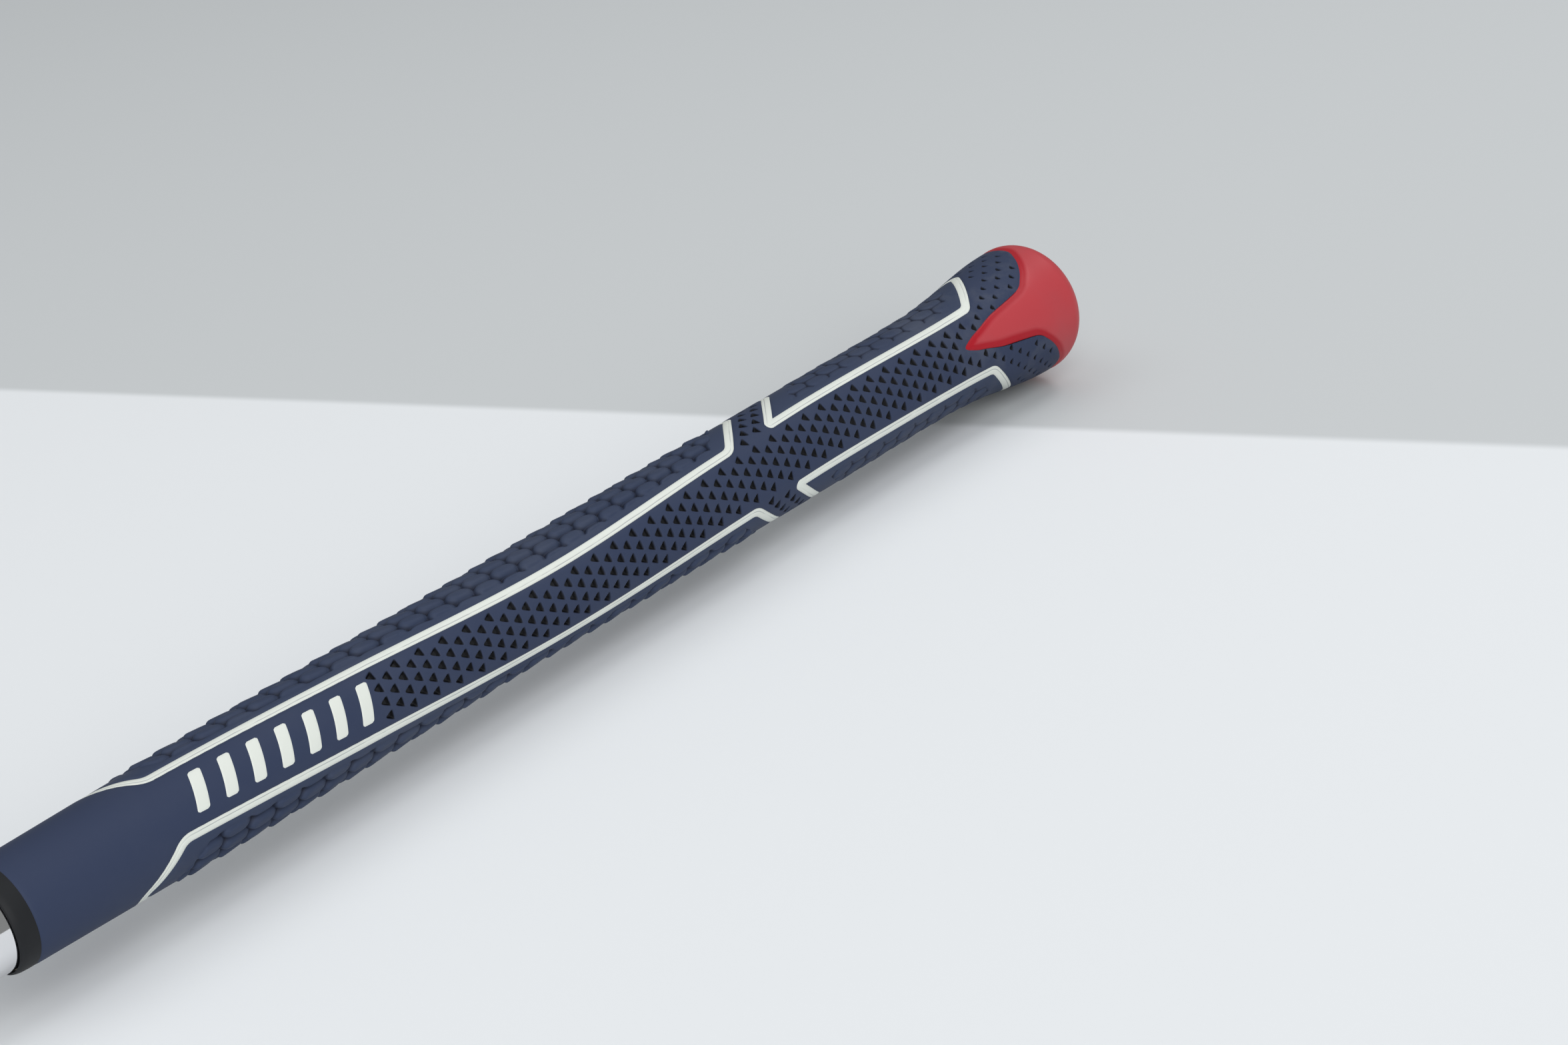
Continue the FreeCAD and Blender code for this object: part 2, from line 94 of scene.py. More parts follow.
def smoothStep(low, high, value):
    # 0 below low, 1 above high, and 3t^2 - 2t^3 between them.
    t = np.clip((value - low) / (high - low), 0, 1)
    return t * t * (3 - 2 * t)


def gripRadius(place):
    # Radius of the bare grip: the smooth curve through its stations.
    return smoothCurve(place, gripShape["places"], gripShape["radii"])


def gripTwist(place):
    # Angle by which a strip's middle has wound round the grip: the smooth curve through its own stations.
    places = np.array(gripShape["twistPlaceShares"]) * gripShape["length"]
    angles = np.array(gripShape["twistShares"]) * math.radians(gripShape["twistDeg"])
    return smoothCurve(place, places, angles)


def turnedPoint(place, radius, angle):
    # x = -place, and (y, z) = radius round the shaft's axis, measured from the front strip's middle.
    full = angle + math.radians(gripShape["rollDeg"])
    return np.stack(np.broadcast_arrays(-place, -radius * np.cos(full), radius * np.sin(full)), axis=-1)


def gripPoint(place, across, side, lift):
    # across is unrolled distance from a side's middle; the lift is added to the grip's radius there.
    angle = across / gripShape["unrollRadius"] + side + gripTwist(place)
    return turnedPoint(place, gripRadius(place) + lift, angle)


# Meshes from grids
def gridPiece(name, grids, material, stands, closed=False):
    # Joins grids of points, each rows x columns x 3 with named values, into one mesh that faces outwards.
    # Points of a grid that lie together become one, and a face left with under three corners is dropped.
    points, quads = [], []
    values = {key: [] for grid in grids for key in grid.get("values", {})}
    start = 0
    for grid in grids:
        place = grid["points"]
        shape = place.shape[:2]
        flat = place.reshape(-1, 3)
        welded = np.round(flat, weldDigits)
        _, first, index = np.unique(welded, axis=0, return_index=True, return_inverse=True)
        index = index.reshape(shape) + start
        if grid.get("closed", closed):
            index = np.concatenate([index, index[:, :1]], axis=1)
        corners = np.stack([index[:-1, :-1], index[:-1, 1:], index[1:, 1:], index[1:, :-1]], axis=-1)
        corners = corners.reshape(-1, 4)
        if grid.get("flip"):
            corners = corners[:, ::-1]
        points.append(flat[first])
        quads.append(corners)
        for key, parts in values.items():
            parts.append(np.broadcast_to(grid.get("values", {}).get(key, 0.0), shape).reshape(-1)[first])
        start += len(first)
    points, quads = np.concatenate(points), np.concatenate(quads)
    kept = quads != np.roll(quads, -1, axis=1)
    whole = kept.sum(axis=1) > 2
    used, loops = np.unique(quads[whole][kept[whole]], return_inverse=True)
    starts = np.concatenate([[0], np.cumsum(kept[whole].sum(axis=1))[:-1]])
    mesh = bpy.data.meshes.new(name)
    mesh.vertices.add(len(used))
    mesh.vertices.foreach_set("co", points[used].astype(np.float32).ravel())
    mesh.loops.add(len(loops))
    mesh.loops.foreach_set("vertex_index", loops.astype(np.int32).ravel())
    mesh.polygons.add(len(starts))
    mesh.polygons.foreach_set("loop_start", starts.astype(np.int32))
    mesh.polygons.foreach_set("use_smooth", np.ones(len(starts), bool))
    mesh.update(calc_edges=True)
    mesh.validate()
    for key, parts in values.items():
        layer = mesh.attributes.new(key, "FLOAT", "POINT")
        layer.data.foreach_set("value", np.concatenate(parts)[used].astype(np.float32))
    mesh.materials.append(material)
    piece = bpy.data.objects.new(name, mesh)
    bpy.context.scene.collection.objects.link(piece)
    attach(piece, "root")
    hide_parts(*stands)
    return piece


def borderLoop(grid):
    # The border of a grid once round: first row, last column, last row, first column.
    return np.concatenate([grid[0, :-1], grid[:-1, -1], grid[-1, :0:-1], grid[:0:-1, 0]])


def wallGrid(place, across, lift, side):
    # A wall from the border of a patch down into the grip, so that a seam shows no gap.
    rim, aside, high = borderLoop(place), borderLoop(across), borderLoop(lift)
    lift = np.stack([np.full(high.shape, -gripShape["wallDepth"]), high])
    points = gripPoint(np.stack([rim, rim]), np.stack([aside, aside]), side, lift)
    return {"points": points, "closed": True}


def borderDistance(place, across, lines, reach):
    # Distance of each point to the nearest vertex of some border lines, and reach where it is further off.
    flat = np.stack([across.ravel(), place.ravel()], axis=1)
    best = np.full(len(flat), reach)
    for line in lines:
        for start in range(0, len(line), lineChunk):
            part = line[start : start + lineChunk]
            near = ((flat > part.min(0) - reach) & (flat < part.max(0) + reach)).all(axis=1)
            if near.any():
                gaps = flat[near][:, None] - part[None]
                best[near] = np.minimum(best[near], np.hypot(gaps[..., 0], gaps[..., 1]).min(axis=1))
    return best.reshape(place.shape)


# Materials
def newMaterial(name, colour, roughness, metallic=0.0):
    # A plain finish, with each number on the shader's own socket.
    material = bpy.data.materials.new(name)
    material.use_nodes = True
    shader = material.node_tree.nodes["Principled BSDF"]
    shader.inputs["Base Color"].default_value = (*colour, 1)
    shader.inputs["Roughness"].default_value = roughness
    shader.inputs["Metallic"].default_value = metallic
    return material


def addNode(material, kind, **settings):
    # A node with its settings, each of which is one of its sockets or one of its options.
    node = material.node_tree.nodes.new(kind)
    for key, value in settings.items():
        if key in node.inputs:
            node.inputs[key].default_value = value
        else:
            setattr(node, key, value)
    return node


def join(material, source, target):
    # A link between two sockets.
    material.node_tree.links.new(source, target)


def rangeNode(material, source, low, high, start=0.0, stop=1.0, kind="LINEAR"):
    # A value that runs from start to stop while its source runs from low to high.
    node = addNode(material, "ShaderNodeMapRange", interpolation_type=kind)
    for label, value in (("From Min", low), ("From Max", high), ("To Min", start), ("To Max", stop)):
        node.inputs[label].default_value = value
    join(material, source, node.inputs["Value"])
    return node.outputs["Result"]


def mathNode(material, operation, *terms):
    # One step of arithmetic, on terms that are numbers or other nodes' values.
    node = addNode(material, "ShaderNodeMath", operation=operation)
    for socket, term in zip(node.inputs, terms):
        if isinstance(term, float):
            socket.default_value = term
        else:
            join(material, term, socket)
    return node.outputs["Value"]


def mixNode(material, factor, first, second):
    # Two colours, each a plain one or another node's, mixed by a factor.
    node = addNode(material, "ShaderNodeMix", data_type="RGBA")
    for label, colour in (("A", first), ("B", second)):
        if isinstance(colour, tuple):
            node.inputs[label].default_value = (*colour, 1)
        else:
            join(material, colour, node.inputs[label])
    join(material, factor, node.inputs["Factor"])
    return node.outputs["Result"]


rubberLook = {
    "navy": (0.029, 0.041, 0.083),
    "navyPanel": (0.032, 0.045, 0.086),
    "coreBlack": (0.012, 0.013, 0.015),
    # the holes show the black underlayer, painted darker than its own black as the shade deep inside them
    "holeShadeBlack": (0.0015, 0.0018, 0.003),
    "capRed": (0.44, 0.050, 0.060),
    "capEdgeRed": (0.36, 0.009, 0.018),
    # painted shade: darker navy in the grooves between the scales and at their mouth-side notches
    "grooveShadeNavy": (0.008, 0.011, 0.025),
    "dust": (0.13, 0.14, 0.16),
    "specular": 0.20,
    "fineScale": 3200.0,
    "patchScale": 60.0,
    "grain": 0.6,
    "patchFrom": 0.48,
    "patchTo": 0.72,
    "bumpStrength": 0.55,
    "bumpDepth": 0.02 * mm,
    "wearPlace": -36.0 * mm,  # along x: the wear grows towards the cap round here
    "wearReach": 22.0 * mm,
}


def makeRubberGrain():
    # Group: a fine grain as height, and a soft patchy mask for dust and handling, both from noise.
    group = bpy.data.node_groups.new("rubberGrain", "ShaderNodeTree")
    for label, key in (("Fine Scale", "fineScale"), ("Patch Scale", "patchScale"), ("Grain", "grain")):
        socket = group.interface.new_socket(name=label, in_out="INPUT", socket_type="NodeSocketFloat")
        socket.default_value = rubberLook[key]
    group.interface.new_socket(name="Height", in_out="OUTPUT", socket_type="NodeSocketFloat")
    group.interface.new_socket(name="Patches", in_out="OUTPUT", socket_type="NodeSocketFloat")
    nodes, links = group.nodes, group.links
    given, made = nodes.new("NodeGroupInput"), nodes.new("NodeGroupOutput")
    where = nodes.new("ShaderNodeTexCoord")
    fine = nodes.new("ShaderNodeTexNoise")
    fine.inputs["Detail"].default_value = 3.0
    patch = nodes.new("ShaderNodeTexNoise")
    patch.inputs["Detail"].default_value = 5.0
    patch.inputs["Roughness"].default_value = 0.62
    scaled = nodes.new("ShaderNodeMath")
    scaled.operation = "MULTIPLY"
    ramp = nodes.new("ShaderNodeMapRange")
    ramp.inputs["From Min"].default_value = rubberLook["patchFrom"]
    ramp.inputs["From Max"].default_value = rubberLook["patchTo"]
    links.new(where.outputs["Object"], fine.inputs["Vector"])
    links.new(where.outputs["Object"], patch.inputs["Vector"])
    links.new(given.outputs["Fine Scale"], fine.inputs["Scale"])
    links.new(given.outputs["Patch Scale"], patch.inputs["Scale"])
    links.new(fine.outputs["Fac"], scaled.inputs[0])
    links.new(given.outputs["Grain"], scaled.inputs[1])
    links.new(patch.outputs["Fac"], ramp.inputs["Value"])
    links.new(scaled.outputs["Value"], made.inputs["Height"])
    links.new(ramp.outputs["Result"], made.inputs["Patches"])
    return group


rubberGrain = makeRubberGrain()


def rubberMaterial(name, colour, roughness, patches, wear=0.0, mark=None):
    # Rubber with grain as a bump, faint dusty patches, more dust near the cap, and another colour where
    # one of the mesh's own values runs from a low to a high.
    material = newMaterial(name, colour, roughness)
    shader = material.node_tree.nodes["Principled BSDF"]
    shader.inputs["Specular IOR Level"].default_value = rubberLook["specular"]
    grain = addNode(material, "ShaderNodeGroup", node_tree=rubberGrain)
    strength, depth = rubberLook["bumpStrength"], rubberLook["bumpDepth"]
    bump = addNode(material, "ShaderNodeBump", Strength=strength, Distance=depth)
    join(material, grain.outputs["Height"], bump.inputs["Height"])
    join(material, bump.outputs["Normal"], shader.inputs["Normal"])
    where = addNode(material, "ShaderNodeTexCoord")
    split = addNode(material, "ShaderNodeSeparateXYZ")
    join(material, where.outputs["Object"], split.inputs["Vector"])
    place, reach = rubberLook["wearPlace"], rubberLook["wearReach"]
    near = rangeNode(material, split.outputs["X"], place - reach, place + reach, patches, patches + wear)
    amount = mathNode(material, "MULTIPLY", grain.outputs["Patches"], near)
    last = mixNode(material, amount, colour, rubberLook["dust"])
    if mark:
        value = addNode(material, "ShaderNodeAttribute", attribute_name=mark["value"])
        share = rangeNode(material, value.outputs["Fac"], mark["none"], mark["full"])
        last = mixNode(material, share, last, rubberLook[mark["colour"]])
    join(material, last, shader.inputs["Base Color"])
    return material


# A mesh's own values: millimetres into a hole and off a scale's border, and the cap's raised field
# Painted shade: the holes and their walls turn near-black, darker than the underlayer's own black, as the
# shade deep inside them
holeShadeMark = {"value": "hole", "none": -0.15, "full": -0.03, "colour": "holeShadeBlack"}
# Painted shade: the panels turn darker navy in the grooves between scales and at each scale's mouth-side
# tip, where shade falls
grooveShadeMark = {"value": "grooveShade", "none": 0.36, "full": -0.03, "colour": "grooveShadeNavy"}
edgeMark = {"value": "field", "none": 0.95, "full": 0.40, "colour": "capEdgeRed"}
# Colour, roughness, dusty patches, and how much more dust there is near the cap
navyRubber = rubberMaterial("navyRubber", rubberLook["navy"], 0.62, 0.05, 0.55, holeShadeMark)
panelRubber = rubberMaterial("panelRubber", rubberLook["navyPanel"], 0.60, 0.12, 0.35, grooveShadeMark)
coreRubber = rubberMaterial("coreRubber", rubberLook["coreBlack"], 0.55, 0.08)
capRubber = rubberMaterial("capRubber", rubberLook["capRed"], 0.42, 0.04, 0.03, edgeMark)

drawnLook = {  # colour, roughness where smooth and where dull, scale of the marks, and their stretch
    "shaftChrome": ((0.80, 0.80, 0.81), 0.045, 0.10, 45.0, (1, 1, 1)),
    "headChrome": ((0.62, 0.625, 0.63), 0.20, 0.30, 900.0, (1, 0.2, 1)),
}
noiseLow, noiseHigh = 0.35, 0.70  # the part of a noise that spans the two roughnesses
plainLook = {  # colour, roughness, metallic
    "ringMetal": ((0.86, 0.86, 0.87), 0.18, 1.0),
    "plugBrass": ((0.62, 0.42, 0.16), 0.3, 1.0),
    "ferrulePlastic": ((0.012, 0.012, 0.013), 0.22, 0.0),
    "tapePaper": ((0.55, 0.50, 0.38), 0.8, 0.0),
    "clearGlue": ((0.55, 0.52, 0.40), 0.3, 0.0),
}


def metalMaterial(name, colour, smooth, dull, scale, stretch):
    # Metal whose roughness wanders between two values, with fine marks drawn out along one way.
    material = newMaterial(name, colour, smooth, 1.0)
    shader = material.node_tree.nodes["Principled BSDF"]
    where = addNode(material, "ShaderNodeTexCoord")
    drawn = addNode(material, "ShaderNodeMapping")
    drawn.inputs["Scale"].default_value = stretch
    join(material, where.outputs["Object"], drawn.inputs["Vector"])
    noise = addNode(material, "ShaderNodeTexNoise", Scale=scale, Detail=6.0, Roughness=0.6)
    join(material, drawn.outputs["Vector"], noise.inputs["Vector"])
    wander = rangeNode(material, noise.outputs["Fac"], noiseLow, noiseHigh, smooth, dull)
    join(material, wander, shader.inputs["Roughness"])
    return material


shaftChrome, headChrome = (metalMaterial(name, *look) for name, look in drawnLook.items())
plainMade = {name: newMaterial(name, *look) for name, look in plainLook.items()}
print("materials made")

# The white lines, and the four windows that they frame
lineShape = {
    "width": 1.70 * mm,
    "sink": 0.10 * mm,
    "crown": 0.05 * mm,
    "edgeDrop": 0.08 * mm,
    "edgePower": 6,
    # The ribbon's rails, and its crease, in half widths off the middle
    "rails": np.array((-1, -1, -0.9, -0.6, -0.3, -0.1, 0.1, 0.2, 0.3, 0.4, 0.55, 0.9, 1, 1)),
    "creaseShare": 0.30,
    "creaseWide": 0.10,
    "creaseDepth": 0.07 * mm,
    "step": 0.4 * mm,
    "fineStep": 0.08 * mm,
    "leastRound": 0.05 * mm,
    "leastGap": 1e-6 * mm,
    "lower": {
        "mouth": {"corner": 240.5 * mm, "tip": 249.0 * mm, "cornerRound": 3.2 * mm, "tipRound": 3.2 * mm},
        "cap": {"corner": 107.0 * mm, "tip": 96.3 * mm, "cornerRound": 3.6 * mm, "tipRound": 1.2 * mm},
    },
    "upper": {
        "mouth": {"corner": 95.0 * mm, "tip": 84.3 * mm, "cornerRound": 0.2 * mm, "tipRound": 1.2 * mm},
        "cap": {"corner": 31.0 * mm, "tip": 19.9 * mm, "cornerRound": 3.2 * mm, "tipRound": 1.2 * mm},
    },
}
paintLook = {
    "white": (0.68, 0.71, 0.66),
    "crease": (0.34, 0.36, 0.37),
    "roughness": 0.5,
    "wobbleScale": 220.0,
    "wobble": 0.30,  # how far the crease wanders, in half widths of the line
    "creaseFrom": 0.04,
    "creaseTo": 0.12,
    "creaseFull": 0.85,
    "patchScale": 130.0,
    "patchFrom": 0.34,
    "patchTo": 0.48,
}


def paintMaterial(name):
    # White paint in a groove: a thin grey crease runs along it, off its middle.
    look = paintLook
    material = newMaterial(name, look["white"], look["roughness"])
    shader = material.node_tree.nodes["Principled BSDF"]
    along = addNode(material, "ShaderNodeAttribute", attribute_name="acrossLine")
    where = addNode(material, "ShaderNodeTexCoord")
    wobble = addNode(material, "ShaderNodeTexNoise", Scale=look["wobbleScale"], Detail=2.0)
    join(material, where.outputs["Object"], wobble.inputs["Vector"])
    shift = mathNode(material, "MULTIPLY_ADD", wobble.outputs["Fac"], look["wobble"], along.outputs["Fac"])
    off = mathNode(material, "SUBTRACT", shift, look["wobble"] / 2 + lineShape["creaseShare"])
    size = mathNode(material, "ABSOLUTE", off)
    thin = rangeNode(material, size, look["creaseFrom"], look["creaseTo"], look["creaseFull"], 0.0)
    patch = addNode(material, "ShaderNodeTexNoise", Scale=look["patchScale"], Detail=3.0)
    join(material, where.outputs["Object"], patch.inputs["Vector"])
    some = rangeNode(material, patch.outputs["Fac"], look["patchFrom"], look["patchTo"])
    fade = mathNode(material, "MULTIPLY", thin, some)
    mixed = mixNode(material, fade, look["white"], look["crease"])
    join(material, mixed, shader.inputs["Base Color"])
    return material


linePaint = paintMaterial("linePaint")
barPaint = newMaterial("barPaint", paintLook["white"], paintLook["roughness"])

# Half widths of a strip, a side, a window and a panel, laid flat
stripHalf = math.radians(gripShape["stripHalfDeg"]) * gripShape["unrollRadius"]
sideMiddle = quarterTurn * gripShape["unrollRadius"]
panelReach = sideMiddle - stripHalf
windowReach = panelReach + lineShape["width"] / 2
fieldReach = panelReach - lineShape["width"] / 2


def roundedLine(corners, rounds, counts, arcSteps=16):
    # An open line: straight legs in even steps and an arc at each inner corner, which touches both legs at
    # radius x tan(half the turn) from it.
    starts, stops, arcs = [np.array(corners[0])], [], []
    for before, corner, after, radius in zip(corners[:-2], corners[1:-1], corners[2:], rounds):
        before, corner, after = (np.array(p, float) for p in (before, corner, after))
        inward = (corner - before) / np.linalg.norm(corner - before)
        outward = (after - corner) / np.linalg.norm(after - corner)
        turn = math.atan2(inward[0] * outward[1] - inward[1] * outward[0], inward @ outward)
        reach = radius * math.tan(abs(turn) / 2)
        normal = np.array([-inward[1], inward[0]]) * math.copysign(1, turn)
        centre = corner - inward * reach + normal * radius
        angle = np.linspace(0, turn, arcSteps)[:, None]
        spoke = -normal * radius
        arc = centre + np.cos(angle) * spoke + np.sin(angle) * np.array([-spoke[1], spoke[0]])
        stops.append(arc[0])
        starts.append(arc[-1])
        arcs.append(arc[1:-1])
    stops.append(np.array(corners[-1]))
    line = []
    for start, stop, count, arc in zip(starts, stops, counts, [*arcs, None]):
        line.append(start + (stop - start) * np.linspace(0, 1, count)[:, None])
        if arc is not None:
            line.append(arc)
    return np.concatenate(line)


def evenLine(line, step):
    # The line again with points at even steps of its length.
    length = np.concatenate([[0], np.cumsum(np.linalg.norm(np.diff(line, axis=0), axis=1))])
    along = np.linspace(0, length[-1], int(length[-1] / step) + 2)
    return np.stack([np.interp(along, length, line[:, k]) for k in (0, 1)], axis=1)


def endLine(level, end, offset):
    # One end of a frame from left to right, moved outwards by offset: each slanted leg is shifted square to
    # itself, an outer corner's radius grows by the offset, and a notch's shrinks by it.
    shape, least = lineShape[level], lineShape["leastRound"]
    corner, tip = shape[end]["corner"], shape[end]["tip"]
    middle = (shape["mouth"]["corner"] + shape["cap"]["corner"]) / 2
    outwards = 1 if end == "mouth" else -1
    slope = (corner - tip) / panelReach
    tipPlace = tip + outwards * offset * math.hypot(1, slope)
    reach = panelReach + offset
    edge = tipPlace + slope * reach
    corners = [(-reach, middle), (-reach, edge), (0, tipPlace), (reach, edge), (reach, middle)]
    notch = -1 if outwards * slope > 0 else 1
    cornerRound = max(shape[end]["cornerRound"] + offset, least)
    tipRound = max(shape[end]["tipRound"] + notch * offset, least)
    side = int(abs(corner - middle) / lineShape["step"])
    leg = int(math.hypot(panelReach, corner - tip) / lineShape["step"])
    return roundedLine(corners, (cornerRound, tipRound, cornerRound), (side, leg, leg, side))


def endLines(level, offset):
    # Both ends of a frame, at the same offset.
    return endLine(level, "mouth", offset), endLine(level, "cap", offset)


def endPlace(line, across):
    # Place of an end line at a distance across, for a line that runs once from left to right.
    order = np.maximum.accumulate(line[:, 0])
    keep = np.concatenate([[True], np.diff(order) > lineShape["leastGap"]])
    first = int(np.argmax(keep[1:]))
    return np.interp(across, order[first:][keep[first:]], line[first:, 1][keep[first:]])


def makeLineFrame(level, label, side):
    # A closed ribbon: outlines moved outwards by shares of half the width, sunk and with a slight crown
    # across, a thin crease, and walls at both edges.
    shares, rails = lineShape["rails"], []
    for share in shares:
        mouth, cap = endLines(level, share * lineShape["width"] / 2)
        rails.append(np.concatenate([mouth, cap[::-1]]))
    rails = np.stack(rails, axis=1)
    crease = np.exp(-(((shares - lineShape["creaseShare"]) / lineShape["creaseWide"]) ** 2))
    edgeDrop = lineShape["edgeDrop"] * np.abs(shares) ** lineShape["edgePower"]
    lift = -lineShape["sink"] - edgeDrop + lineShape["crown"] * (1 - shares**2)
    lift -= lineShape["creaseDepth"] * crease
    lift[[0, -1]] = -gripShape["wallDepth"]
    points = gripPoint(rails[..., 1], rails[..., 0], side, np.broadcast_to(lift, rails.shape[:2]))
    points = np.concatenate([points, points[:1]])
    across = np.broadcast_to(shares, points.shape[:2])
    grid = {"points": points, "values": {"acrossLine": across}, "flip": True}
    name = f"whiteLine{level.title()}{label.title()}"
    return gridPiece(name, [grid], linePaint, [f"white_line_{level}_{label}"])


for frameLevel in ("lower", "upper"):
    makeLineFrame(frameLevel, "left", -quarterTurn)
    makeLineFrame(frameLevel, "right", quarterTurn)
print("white lines made")

# Panels with rows of overlapping scales
panelShape = {
    "rowPitch": 1.62 * mm,
    "cellPitch": 10.38 * mm,
    "firstCell": 199.9 * mm,
    # The rows drift sideways along the panel
    "driftPlaces": np.array((100.0, 150.0, 174.0, 195.0, 205.0, 245.0)) * mm,
    "drifts": np.array((0.70, 0.65, 0.41, 0.0, -0.23, -0.45)) * mm,
    "tipStretch": 1.5,  # how pointed a scale's two ends are
    "corner": 0.36 * mm,
    "softness": 1.15 * mm,  # how far in from its border a scale still rises
    "domeLow": -0.3,
    "domePower": 2.2,
    "valley": {"lower": 0.58 * mm, "upper": 0.28 * mm},
    "rise": {"lower": 0.82 * mm, "upper": 0.31 * mm},
    "lean": {"lower": 0.22 * mm, "upper": 0.08 * mm},
    # painted shadow: the groove's painted shade stays full at each scale's mouth-side tip, whose step is in
    # shade, and eases towards its cap side
    "notchShade": 0.12,
    # The plain margins between the scales and the frame
    "sideClear": 1.20 * mm,
    "mouthClear": 5.4 * mm,
    "capClear": 4.2 * mm,
    "fadeReach": 0.30 * mm,
    "fineStep": 0.20 * mm,
    "sink": 0.05 * mm,
    "endShare": 0.66,
    "edgeColumns": np.array((0.0, 0.02, 0.06, 0.12, 0.20)) * mm,
    "evenFrom": 0.3 * mm,
}


def scaleCells(place, across):
    # Six-sided cells in rows, every other row half a step on: how far ahead of its cell's middle a point
    # lies, and its distance to the cell's border, as a smooth minimum so that the corners are round. The
    # stretch across draws the two ends out to points.
    row, pitch = panelShape["rowPitch"], panelShape["cellPitch"]
    found = []
    for shift in (0.0, 0.5):
        along = place - panelShape["firstCell"]
        ahead = along - (np.round(along / pitch - shift) + shift) * pitch
        found.append((ahead, across - (np.round(across / (2 * row) - shift) + shift) * 2 * row))
    stretch = panelShape["tipStretch"]
    reach = [np.hypot(ahead, stretch * aside) for ahead, aside in found]
    ahead, aside = (np.where(reach[0] < reach[1], first, second) for first, second in zip(*found))
    half = math.hypot(pitch / 2, stretch * row)
    slant = stretch**2 * row * np.abs(aside)
    near, far = ((half**2 / 2 - np.abs(ahead) * pitch / 2 - hand * slant) / half for hand in (1, -1))
    soft = panelShape["corner"]
    border = -soft * np.log(sum(np.exp(-gap / soft) for gap in (near, far, row - np.abs(aside))))
    return ahead, border


def crowdedColumns(reach, step):
    # Even columns, with a few more close to both edges for the rounded corners.
    edge, inner = reach - panelShape["edgeColumns"], panelShape["evenFrom"]
    middle = np.linspace(-reach + inner, reach - inner, int(2 * reach / step))
    return np.sort(np.concatenate([-edge, middle, edge]))


def makePanel(level, label, side):
    # Rows from the cap's end line to the mouth's: each scale domes up as 1 - (1 - border / softness) to a
    # power and leans with the distance ahead of its middle, and the panel is flat and sunk near its frame.
    mouthLine, capLine = endLines(level, -lineShape["width"] / 2)
    columns = crowdedColumns(fieldReach, panelShape["fineStep"])
    high, low = endPlace(mouthLine, columns), endPlace(capLine, columns)
    rows = int((high - low).max() / panelShape["fineStep"])
    share = np.linspace(0, 1, rows)[:, None]
    place = low + share * (high - low)
    across = np.broadcast_to(columns, place.shape)
    drift = smoothCurve(place, panelShape["driftPlaces"], panelShape["drifts"])
    ahead, border = scaleCells(place, across - drift)
    pitch = panelShape["cellPitch"]
    ahead = ahead / (math.hypot(pitch / 2, panelShape["rowPitch"]) ** 2 / pitch)
    shape = {key: panelShape[key][level] for key in ("valley", "rise", "lean")}
    inward = np.clip(border / panelShape["softness"], panelShape["domeLow"], 1)
    dome = 1 - (1 - inward) ** panelShape["domePower"]
    scales = dome * (shape["rise"] + shape["lean"] * ahead) - shape["valley"]
    aside = fieldReach - np.abs(across)
    clear = (aside - panelShape["sideClear"], high - place - panelShape["mouthClear"])
    clear = np.minimum(np.minimum(*clear), place - low - panelShape["capClear"])
    inner = smoothStep(0, panelShape["fadeReach"], clear)
    lift = scales * inner - panelShape["sink"] * (1 - inner)
    ends = np.minimum(place - low, high - place) * panelShape["endShare"]
    lift -= gripShape["dipDepth"] * (1 - smoothStep(0, gripShape["dipReach"], np.minimum(aside, ends)))
    # painted shade: low off a scale's border and at its mouth-side tip, high in the plain margins beside
    # the frame
    grooveShade = border / mm + panelShape["notchShade"] * (1 - ahead) + 1 - inner
    surface = {"points": gripPoint(place, across, side, lift), "values": {"grooveShade": grooveShade}}
    grids = [surface, wallGrid(place, across, lift, side)]
    name = f"{level}Panel{label.title()}"
    return gridPiece(name, grids, panelRubber, [f"{level}_panel_{label}"])


for panelLevel in ("lower", "upper"):
    makePanel(panelLevel, "left", -quarterTurn)
    makePanel(panelLevel, "right", quarterTurn)
print("panels made")

# Cap edge and the navy skin with its holes
capShape = {
    "tonguePlace": 38.5 * mm,
    "lobePlace": 6.5 * mm,
    # The tongue's edge, from its tip round to the side of the grip
    "placeShares": (1.0, 0.905, 0.81, 0.655, 0.5, 0.345, 0.25, 0.155, 0.08, 0.03, 0.0),
    "angleShares": (0.0, 0.085, 0.127, 0.195, 0.225, 0.258, 0.34, 0.465, 0.60, 0.72, 1.0),
    "rimRadius": 14.30 * mm,
    "rimRound": 4.4 * mm,
    "domeRise": 0.4 * mm,
    "ventRadius": 1.6 * mm,
    "wall": 4.6 * mm,
    "raise": 0.26 * mm,
    "raiseShare": 0.55,
    "rimPlace": 12.0 * mm,
    "bevel": 2.0 * mm,
    "bevelShare": 0.15,  # the slope starts at this share of the bevel
    "tipPlace": 30.0 * mm,
    "tipSqueeze": 0.45,
    "columns": 460,
    "rows": 200,
    "rowPower": 0.9,
    "wrapRadius": 13.0 * mm,
    "seamDip": 0.10 * mm,
    "seamReach": 0.5 * mm,
}
